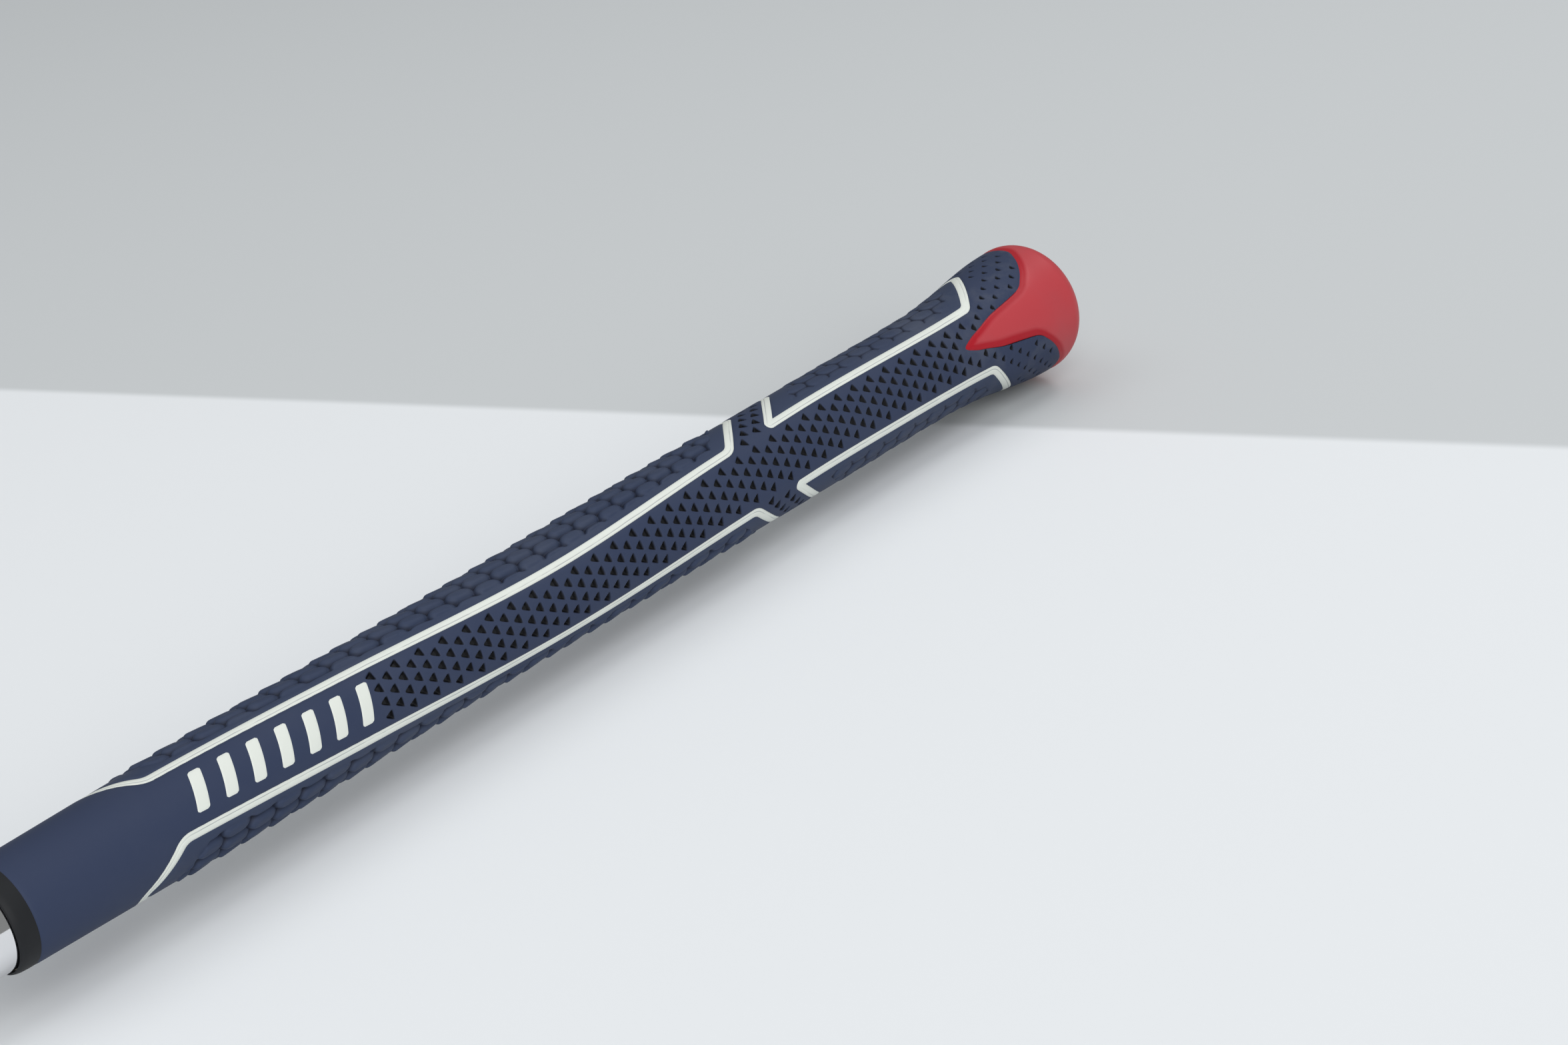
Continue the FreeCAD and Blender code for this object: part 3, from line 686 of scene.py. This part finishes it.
skinShape = {
    "fineStep": 0.17 * mm,
    "holeSide": 1.98 * mm,
    "holeBack": 0.40,  # shares of the side from a hole's middle to its flat edge and to its tip
    "holeTip": 0.50,
    "holeSlopeDeg": 60,
    "holeShrink": 0.10 * mm,
    "holePitch": 2.545 * mm,
    "holeStepDeg": 14.8,
    "mostAside": 6,
    "holeFirst": 199.0 * mm,
    "holeMargin": 1.2 * mm,
    "holeDepth": 0.90 * mm,
    "holeCorner": 0.13 * mm,
    "holeGap": 2.2 * mm,
    "smallFrom": 22.0 * mm,
    "smallTo": 42.0 * mm,
    "smallShare": 0.64,
    "holeSoft": 0.12 * mm,
    "holeSeen": 0.30 * mm,
    "bandStep": 2.62 * mm,
    "bandFirst": 6.1 * mm,
    "bandHalf": 1.9 * mm,
    "lastRow": 8.0 * mm,
    "fineBeyond": 2 * mm,
    "edgeColumn": 0.06 * mm,
}


def capEdge(across):
    # Place of the cap's edge round one half of the grip: a smooth tongue, the same on both sides.
    reach = np.array(capShape["angleShares"]) * sideMiddle
    span = capShape["tonguePlace"] - capShape["lobePlace"]
    place = capShape["lobePlace"] + np.array(capShape["placeShares"]) * span
    both = np.concatenate([-reach[:0:-1], reach]), np.concatenate([place[:0:-1], place])
    return smoothCurve(across, *both)


def slantedRows(first, place, fall, offsets):
    # Rows of hole places beside a slanted line, out to the grip's side, every other row half a step on.
    along = skinShape["bandStep"] / math.hypot(1, fall)
    found = []
    for row, offset in enumerate(offsets):
        for k in range(int((sideMiddle - first) / along) + 1):
            across = first + (k + row % 2 / 2) * along
            if across <= sideMiddle:
                found.append((across, place - fall * (across - first) - offset))
    return found


def holePlaces():
    # Holes of one face of the grip: rows of four and three in the strip, which go on at both sides between
    # the cap's edge and the frames, and slanted rows in the cross band.
    step = math.radians(skinShape["holeStepDeg"]) * gripShape["unrollRadius"]
    clear = lineShape["width"] / 2 + skinShape["holeMargin"]
    capEnd = endLine("upper", "cap", clear)
    pitch, most = skinShape["holePitch"], skinShape["mostAside"]
    found = []
    for row in range(int((skinShape["holeFirst"] - skinShape["lastRow"]) / pitch)):
        place = skinShape["holeFirst"] - row * pitch
        for share in np.arange(-most, most + 1) + (0.5 if row % 2 == 0 else 0.0):
            across = share * step
            inStrip = abs(across) < stripHalf - clear
            inLobe = abs(across) <= sideMiddle and place < endPlace(capEnd, sideMiddle - abs(across))
            if (inStrip or inLobe) and place > capEdge(across) + clear:
                found.append((across, place))
    bandEnd, bandStart = lineShape["lower"]["cap"], lineShape["upper"]["mouth"]
    bandFall = (bandEnd["corner"] - bandEnd["tip"]) / panelReach
    bandMiddle = (bandEnd["corner"] + bandStart["corner"]) / 2
    bandPlace = bandMiddle - (skinShape["bandFirst"] - stripHalf) * bandFall
    offsets = -skinShape["bandHalf"], skinShape["bandHalf"]
    for across, place in slantedRows(skinShape["bandFirst"], bandPlace, bandFall, offsets):
        found += [(across, place), (-across, place)]
    kept = []
    for hole in found:
        if all(math.dist(hole, other) > skinShape["holeGap"] for other in kept):
            kept.append(hole)
    return np.array(kept)


def holeInset(place, across):
    # How far inside a three-sided hole with soft corners a point is, below zero outside: a smooth maximum
    # of the signed distances past its three edges. Holes are smaller near the cap.
    slope, soft = math.radians(skinShape["holeSlopeDeg"]), skinShape["holeCorner"]
    smallShare = skinShape["smallShare"]
    inset = np.full(place.shape, -skinShape["holeSeen"])
    for across0, place0 in holePlaces():
        size = smoothStep(skinShape["smallFrom"], skinShape["smallTo"], place0)
        side = skinShape["holeSide"] * (smallShare + (1 - smallShare) * size)
        back, tip = side * skinShape["holeBack"], side * skinShape["holeTip"]
        near = (np.abs(place - place0) < side) & (np.abs(across - across0) < side)
        if near.any():
            p, c = place[near] - place0, across[near] - across0
            edges = [-back - p]
            edges += [(hand * c - (tip - p) / math.tan(slope)) * math.sin(slope) for hand in (-1, 1)]
            past = soft * np.log(sum(np.exp(edge / soft) for edge in edges))
            inset[near] = np.maximum(inset[near], -past - skinShape["holeShrink"])
    return inset


def frameBorders(reach):
    # Outer edges of both frames beside the strip, in the strip's own unrolled plane.
    lines = []
    for level in ("lower", "upper"):
        for end in endLines(level, reach):
            for shift in (-sideMiddle, sideMiddle):
                lines.append(end + np.array([shift, 0]))
    return lines


def capBorder():
    # The cap's edge as a border line, over both neighbouring halves of the grip.
    across = np.arange(-2 * sideMiddle, 2 * sideMiddle, lineShape["fineStep"])
    folded = np.abs((across + sideMiddle) % (2 * sideMiddle) - sideMiddle)
    return np.stack([across, capEdge(folded)], axis=1)


def skinGrids(columns, low, high, side, rows, shift, folded):
    # Straight rows cut off at a low and a high border: on the grip's surface, dipping beside lines, cap and
    # mouth, with a pocket for each hole. shift is how far the piece's middle is from a strip's middle, and
    # folded is each column's distance from the nearest strip's middle.
    place = np.clip(rows[:, None], low, high)
    across = np.broadcast_to(columns, place.shape)
    mouthLine = np.stack([columns, np.full(columns.shape, gripShape["mouthPlace"])], axis=1)
    borders = frameBorders(lineShape["width"] / 2) + [capBorder()]
    borders = [line - np.array([shift, 0]) for line in borders]
    borders.append(evenLine(mouthLine, lineShape["fineStep"]))
    gap = borderDistance(place, across, borders, gripShape["dipReach"])
    inset = holeInset(place, np.broadcast_to(folded, place.shape))
    lift = -gripShape["dipDepth"] * (1 - smoothStep(0, gripShape["dipReach"], gap))
    lift -= skinShape["holeDepth"] * smoothStep(-skinShape["holeSoft"], skinShape["holeSoft"], inset)
    # the hole value drives painted shade: near-black in each hole and down its walls
    surface = {"points": gripPoint(place, across, side, lift), "values": {"hole": inset / mm}}
    return [surface, wallGrid(place, across, lift, side)]


def evenRows(low, high, step):
    # Even places from low to high, no further apart than a step.
    return np.linspace(low, high, int((high - low) / step) + 2)


def makeStripSkin(label, side):
    # The strip between the frames, from the cap's edge to the mouth: fine rows where the holes are.
    edge, step = sideMiddle - windowReach, skinShape["fineStep"]
    columns = np.linspace(-edge, edge, int(2 * edge / step))
    columns = np.sort(np.concatenate([columns, np.array((-1, 1)) * (edge - skinShape["edgeColumn"])]))
    low, fineEnd = capEdge(columns), skinShape["holeFirst"] + skinShape["fineBeyond"]
    mouth = gripShape["mouthPlace"]
    rows = [evenRows(low.min(), fineEnd, step), evenRows(fineEnd, mouth, 2 * step)[1:]]
    grids = skinGrids(columns, low, mouth, side, np.concatenate(rows), 0.0, np.abs(columns))
    return gridPiece(f"gripSkin{label.title()}", grids, navyRubber, ["grip_skin"])


def makeSideSkin(label, side):
    # The skin between and beyond the windows of one side: collar, cross band and cap lobes.
    columns = crowdedColumns(windowReach, skinShape["fineStep"])
    lowerMouth, lowerCap = endLines("lower", lineShape["width"] / 2)
    upperMouth, upperCap = endLines("upper", lineShape["width"] / 2)
    folded = sideMiddle - np.abs(columns)
    mouth = np.full(columns.shape, gripShape["mouthPlace"])
    blocks = [
        (endPlace(lowerMouth, columns), mouth, 2 * skinShape["fineStep"]),
        (endPlace(upperMouth, columns), endPlace(lowerCap, columns), skinShape["fineStep"]),
        (capEdge(folded), endPlace(upperCap, columns), skinShape["fineStep"]),
    ]
    grids = []
    for low, high, step in blocks:
        rows = evenRows(low.min(), high.max(), step)
        grids += skinGrids(columns, low, high, side, rows, sideMiddle, folded)
    return gridPiece(f"gripSkin{label.title()}", grids, navyRubber, ["grip_skin"])


makeStripSkin("front", 0.0)
makeStripSkin("back", math.pi)
makeSideSkin("left", -quarterTurn)
makeSideSkin("right", quarterTurn)
print("skin made")

# Painted bars near the mouth
barShape = {
    "count": 7,
    "width": 2.3 * mm,
    "height": 6.8 * mm,
    "slant": 2.2 * mm,
    "first": 237.0 * mm,
    "pitch": 5.4 * mm,
    "lift": 0.07 * mm,
    "round": 0.45 * mm,
    "roundShare": 0.98,  # of a full quarter circle
    "edgeFrom": -0.05 * mm,
    "edgeTo": 0.25 * mm,
    "columns": 30,
    "rows": 14,
}


def makeBars():
    # Seven slanted bars: a flat top a hair above the skin, rounded down at the edges and at the corners.
    shape = barShape
    across = np.linspace(-1, 1, shape["columns"])[None, :] * shape["height"] / 2
    share = np.linspace(-1, 1, shape["rows"])[:, None]
    corner = np.clip((np.abs(across) - shape["height"] / 2 + shape["round"]) / shape["round"], 0, 1)
    half = shape["width"] / 2 - shape["round"] * (1 - np.sqrt(1 - corner**2 * shape["roundShare"]))
    edge = np.minimum((1 - np.abs(share)) * half, shape["height"] / 2 - np.abs(across))
    lift = shape["lift"] * smoothStep(shape["edgeFrom"], shape["edgeTo"], edge)
    grids = []
    for k in range(shape["count"]):
        slope = (across / shape["height"] + 0.5) * shape["slant"]
        middle = shape["first"] - k * shape["pitch"] - shape["width"] / 2 - slope
        place = middle + share * half
        wide = np.broadcast_to(across, place.shape)
        grids.append({"points": gripPoint(place, wide, 0.0, lift)})
        grids.append(wallGrid(place, wide, lift, 0.0))
    return gridPiece("frontBars", grids, barPaint, ["front_bars"])


makeBars()
print("bars made")

# Red cap with its two raised tongues
def capMeridian(path):
    # Radius and place along the cap's outline: dome from the vent, rim arc, then the flare.
    shape = capShape
    flat, arc = shape["rimRadius"] - shape["rimRound"], shape["rimRound"]
    rimPlace = shape["domeRise"] + arc
    turn = np.clip((path - flat) / arc, 0, quarterTurn)
    onDome = np.minimum(path, flat)
    radius = onDome + arc * np.sin(turn)
    place = shape["domeRise"] * (onDome / flat) ** 2 + arc * (1 - np.cos(turn))
    beyond = np.maximum(path - flat - arc * quarterTurn, 0)
    place = place + beyond
    return np.where(beyond > 0, gripRadius(rimPlace + beyond), radius), place, turn


def makeCap():
    # Columns round the grip, rows from the vent's edge to the tongue's edge, with the relief as a lift
    # along the outline's own normal: a raised field inside a sloping border.
    shape = capShape
    angle = np.linspace(0, 2 * math.pi, shape["columns"], endpoint=False)
    folded = np.abs((angle + quarterTurn) % math.pi - quarterTurn) * gripShape["unrollRadius"]
    flat, arc = shape["rimRadius"] - shape["rimRound"], shape["rimRound"]
    bend = flat + arc * quarterTurn
    edge = bend + capEdge(folded) - shape["domeRise"] - arc
    share = np.linspace(0, 1, shape["rows"])[:, None] ** shape["rowPower"]
    path = shape["ventRadius"] + share * (edge - shape["ventRadius"])
    radius, place, turn = capMeridian(path)
    around = np.broadcast_to(angle, path.shape)
    edgeRadius = gripRadius(np.maximum(capEdge(folded), shape["domeRise"] + arc))
    outline = np.stack([angle * edgeRadius, edge], axis=1)
    once = (2 * math.pi * shape["wrapRadius"], 0)
    outline = np.concatenate([outline - once, outline, outline + once])

    def squeezed(way):
        # Lengths beyond the start of the tongue's tip are shortened, so that the bevel is wider there.
        return way - shape["tipSqueeze"] * np.maximum(way - bend - shape["tipPlace"], 0)

    outline[:, 1] = squeezed(outline[:, 1])
    fine = evenLine(outline, lineShape["fineStep"] * 2)
    gap = borderDistance(squeezed(path), around * radius, [fine], shape["bevel"])
    field = smoothStep(shape["bevelShare"] * shape["bevel"], shape["bevel"], gap)
    sloped = shape["raise"] * field - shape["seamDip"] * (1 - smoothStep(0, shape["seamReach"], gap))
    flush = 1 - (1 - shape["raiseShare"]) * smoothStep(shape["lobePlace"], shape["rimPlace"], place)
    lift = (sloped - shape["raise"] * flush) * np.where(path > flat, 1, path / flat)
    radius = radius + lift * np.where(turn < quarterTurn, np.sin(turn), 1)
    place = place - lift * np.where(turn < quarterTurn, np.cos(turn), 0)
    vent = np.stack([np.full(angle.shape, shape["ventRadius"])] * 2)
    inner = np.stack([np.full(angle.shape, shape["wall"]), np.full(angle.shape, place[0].max())])
    top = np.stack([around[0], around[0]])
    walls = np.stack([place[-1], place[-1]]), np.stack([radius[-1], radius[-1] - gripShape["wallDepth"]])
    grids = [
        {"points": turnedPoint(place, radius, around), "values": {"field": field}},
        {"points": turnedPoint(inner, vent, top)},
        {"points": turnedPoint(walls[0], walls[1], top)},
    ]
    return gridPiece("endCap", grids, capRubber, ["end_cap"], closed=True)


makeCap()
print("cap made")

# Turned pieces
turnedShape = {
    "sides": 192,
    "weldReach": 1e-7,
    "sharpDeg": 32,
    "arcLimit": 2.2,  # an arc takes at most one part in this many of a leg
}
tubeShape = {
    "buttRadius": 7.62 * mm,
    "tipRadius": 4.70 * mm,
    "wall": 0.50 * mm,
    "buttPlace": 4.6 * mm,
    "tipPlace": 849.0 * mm,
    "firstStep": 305.0 * mm,
    "stepPitch": 38.1 * mm,
    "stepCount": 13,
    "stepRamp": 2.0 * mm,
    "edgeRound": 0.8 * mm,
}
# Profiles of the core and the ferrule: (place, radius) pairs in millimetres
coreShape = {
    "body": [
        *[(4.6, 10.15), (45.0, 10.10), (74.0, 9.90), (132.0, 9.25)],
        *[(171.0, 8.75), (229.0, 8.40), (266.7, 8.15), (266.7, 8.50)],
    ],
    "lip": [(267.6, 8.50), (269.1, 8.40), (269.8, 8.18), (270.0, 7.95), (269.9, 7.82), (262.0, 7.80)],
    "bore": [(4.6, 7.80)],
    "edgeRound": 0.5,
}
ferruleShape = {
    "side": [(793.0, 4.73), (793.0, 5.25), (793.5, 5.75), (799.0, 5.93), (805.0, 6.13), (811.4, 6.45)],
    "ring": [(811.4, 5.70), (811.4, 6.47), (813.0, 6.56), (813.0, 5.70)],
    "foot": [(813.0, 6.55), (815.0, 6.63), (817.0, 6.70), (817.0, 4.73)],
    "edgeRound": 0.4,
}


def turnedPiece(name, profile, material, stands):
    # A closed profile of (place, radius) pairs turned round the shaft's axis.
    sides = turnedShape["sides"]
    profile = np.array(profile, float)
    profile = np.concatenate([profile, profile[:1]])
    angle = np.linspace(0, 2 * math.pi, sides, endpoint=False)
    place = np.broadcast_to(profile[:, :1], (len(profile), sides))
    radius = np.broadcast_to(profile[:, 1:], place.shape)
    grid = {"points": turnedPoint(place, radius, angle)}
    piece = gridPiece(name, [grid], material, stands, closed=True)
    sharpen(piece)
    return piece


def sharpen(piece):
    # Welds the profile's first and last ring and keeps corners over a set angle crisp.
    sharp = math.radians(turnedShape["sharpDeg"])
    work = bmesh.new()
    work.from_mesh(piece.data)
    bmesh.ops.remove_doubles(work, verts=work.verts, dist=turnedShape["weldReach"])
    for edge in work.edges:
        edge.smooth = len(edge.link_faces) != 2 or edge.calc_face_angle(0) < sharp
    work.to_mesh(piece.data)
    work.free()


def roundedRun(corners, radius, steps=6):
    # Corners of an open profile replaced with short arcs, each a quadratic curve between two points of its
    # legs, so that the edges catch the light.
    line, limit = [corners[0]], turnedShape["arcLimit"]
    for before, corner, after in zip(corners[:-2], corners[1:-1], corners[2:]):
        before, corner, after = (np.array(p, float) for p in (before, corner, after))
        back, onward = np.linalg.norm(before - corner), np.linalg.norm(after - corner)
        reach = min(radius, back / limit, onward / limit)
        start = corner + (before - corner) / back * reach
        stop = corner + (after - corner) / onward * reach
        for t in np.linspace(0, 1, steps):
            line.append((1 - t) ** 2 * start + 2 * t * (1 - t) * corner + t**2 * stop)
    return [*line, corners[-1]]


def makeShaft():
    # Steel tube: 13 steps down from butt to tip, each a soft ramp, with a thin wall and open ends.
    shape = tubeShape
    radii = np.linspace(shape["buttRadius"], shape["tipRadius"], shape["stepCount"] + 1)
    outside = [(shape["buttPlace"], radii[0])]
    for k in range(shape["stepCount"]):
        place = shape["firstStep"] + k * shape["stepPitch"]
        outside += [(place, radii[k]), (place + shape["stepRamp"], radii[k + 1])]
    outside.append((shape["tipPlace"], radii[-1]))
    inside = [(place, radius - shape["wall"]) for place, radius in outside[::-1]]
    profile = roundedRun(outside, shape["edgeRound"]) + inside
    return turnedPiece("shaftTube", profile, shaftChrome, ["shaft"])


def makeCore():
    # The black underlayer: its body under the skin and the rounded lip at the mouth.
    shape = coreShape
    lip = roundedRun(shape["lip"], shape["edgeRound"])
    profile = np.array(shape["body"] + lip + shape["bore"]) * mm
    return turnedPiece("gripCore", profile, coreRubber, ["grip_core"])


def makeFerrule():
    # A slender black collar that swells to the hosel, with a thin bright ring let into it.
    shape = ferruleShape
    collar = np.array(roundedRun(shape["side"], shape["edgeRound"]) + shape["foot"]) * mm
    turnedPiece("ferruleCollar", collar, plainMade["ferrulePlastic"], ["ferrule"])
    band = np.array(shape["ring"]) * mm
    return turnedPiece("ferruleBand", band, plainMade["ringMetal"], ["ferrule_ring"])


makeShaft()
makeCore()
makeFerrule()
print("turned pieces made")

# Solids shown as they are, with their own finish
for nodeName, material in (
    ("wedge_head", headChrome),
    ("tip_plug", plainMade["plugBrass"]),
    ("grip_tape", plainMade["tapePaper"]),
    ("hosel_glue", plainMade["clearGlue"]),
):
    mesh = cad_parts[nodeName].data
    mesh.materials.clear()
    mesh.materials.append(material)
print("solids finished")

# Camera at the photograph's angle
viewShape = {
    "place": (-418.4 * mm, -293.1 * mm, 187.8 * mm),
    "turnDeg": (65.207, 6.353, -51.273),
    "lens": 57.25,
    "sensor": 36.0,
    "clipStart": 0.01,
}
cameraData = bpy.data.cameras.new("camera")
cameraData.lens = viewShape["lens"]
cameraData.sensor_width = viewShape["sensor"]
cameraData.clip_start = viewShape["clipStart"]
camera = bpy.data.objects.new("camera", cameraData)
camera.location = viewShape["place"]
camera.rotation_euler = [math.radians(v) for v in viewShape["turnDeg"]]
bpy.context.scene.collection.objects.link(camera)
bpy.context.scene.camera = camera
print("camera placed")

# Floor, world and lamps
stageLook = {
    "floorSize": 12.0,
    "floorPale": (0.80, 0.82, 0.84),
    "floorGrey": (0.59, 0.61, 0.62),
    "roughness": 0.9,
    "specular": 0.1,
    "edgeFrom": (-111.0 * mm, 229.5 * mm),  # the straight edge beyond which the floor is grey
    "edgeTo": (6.5 * mm, -117.65 * mm),
    "edgeSoft": 1.9 * mm,
    "zenith": (0.75, 0.77, 0.79),
    "horizon": (0.26, 0.265, 0.26),
    "fadeLow": 0.60,
    "fadeHigh": 0.88,
}
lampLook = {
    "keyLamp": {"place": (-0.75, 0.55, 1.3), "aim": (-0.2, 0, 0), "size": 0.9, "power": 1.6},
    "fillLamp": {"place": (-1.484, -1.98, 1.62), "aim": (-0.2, 0, 0), "size": 2.7, "power": 60.0},
    "streakLamp": {"place": (0.53, -0.16, 0.85), "aim": (-0.29, 0, 0), "size": 0.34, "power": 1.7},
}


def makeFloor():
    # A flat pale floor that turns grey beyond a straight edge: signed distance from a line in the plane.
    half = stageLook["floorSize"] / 2
    low = cadBox[0].z
    mesh = bpy.data.meshes.new("floor")
    corners = [(-half, -half, low), (half, -half, low), (half, half, low), (-half, half, low)]
    mesh.from_pydata(corners, [], [(0, 1, 2, 3)])
    material = newMaterial("floorPaint", stageLook["floorPale"], stageLook["roughness"])
    shader = material.node_tree.nodes["Principled BSDF"]
    shader.inputs["Specular IOR Level"].default_value = stageLook["specular"]
    start, end = Vector(stageLook["edgeFrom"]), Vector(stageLook["edgeTo"])
    along = (end - start).normalized()
    normal = Vector((-along.y, along.x, 0))
    where = addNode(material, "ShaderNodeTexCoord")
    dot = addNode(material, "ShaderNodeVectorMath", operation="DOT_PRODUCT")
    dot.inputs[1].default_value = normal
    join(material, where.outputs["Object"], dot.inputs[0])
    level, soft = normal.x * start.x + normal.y * start.y, stageLook["edgeSoft"]
    beyond = rangeNode(material, dot.outputs["Value"], level - soft, level + soft, kind="SMOOTHSTEP")
    mixed = mixNode(material, beyond, stageLook["floorPale"], stageLook["floorGrey"])
    join(material, mixed, shader.inputs["Base Color"])
    mesh.materials.append(material)
    floor = bpy.data.objects.new("floor", mesh)
    bpy.context.scene.collection.objects.link(floor)
    return floor


def makeWorld():
    # Pale light from above that fades to a grey horizon.
    world = bpy.data.worlds.new("world")
    world.use_nodes = True
    where = addNode(world, "ShaderNodeTexCoord")
    height = addNode(world, "ShaderNodeSeparateXYZ")
    join(world, where.outputs["Generated"], height.inputs["Vector"])
    low, high = stageLook["fadeLow"], stageLook["fadeHigh"]
    fade = rangeNode(world, height.outputs["Z"], low, high, kind="SMOOTHSTEP")
    sky = mixNode(world, fade, stageLook["horizon"], stageLook["zenith"])
    join(world, sky, world.node_tree.nodes["Background"].inputs["Color"])
    bpy.context.scene.world = world


def makeLamp(name, place, aim, size, power):
    # A round soft lamp at a place, turned towards the point it is aimed at.
    data = bpy.data.lights.new(name, "AREA")
    data.shape = "DISK"
    data.size = size
    data.energy = power
    lamp = bpy.data.objects.new(name, data)
    lamp.location = place
    lamp.rotation_euler = (Vector(aim) - Vector(place)).to_track_quat("-Z", "Y").to_euler()
    bpy.context.scene.collection.objects.link(lamp)
    return lamp


makeFloor()
makeWorld()
for lampName, lampSettings in lampLook.items():
    makeLamp(lampName, **lampSettings)
bpy.context.scene.view_settings.view_transform = "Standard"
print("stage set")
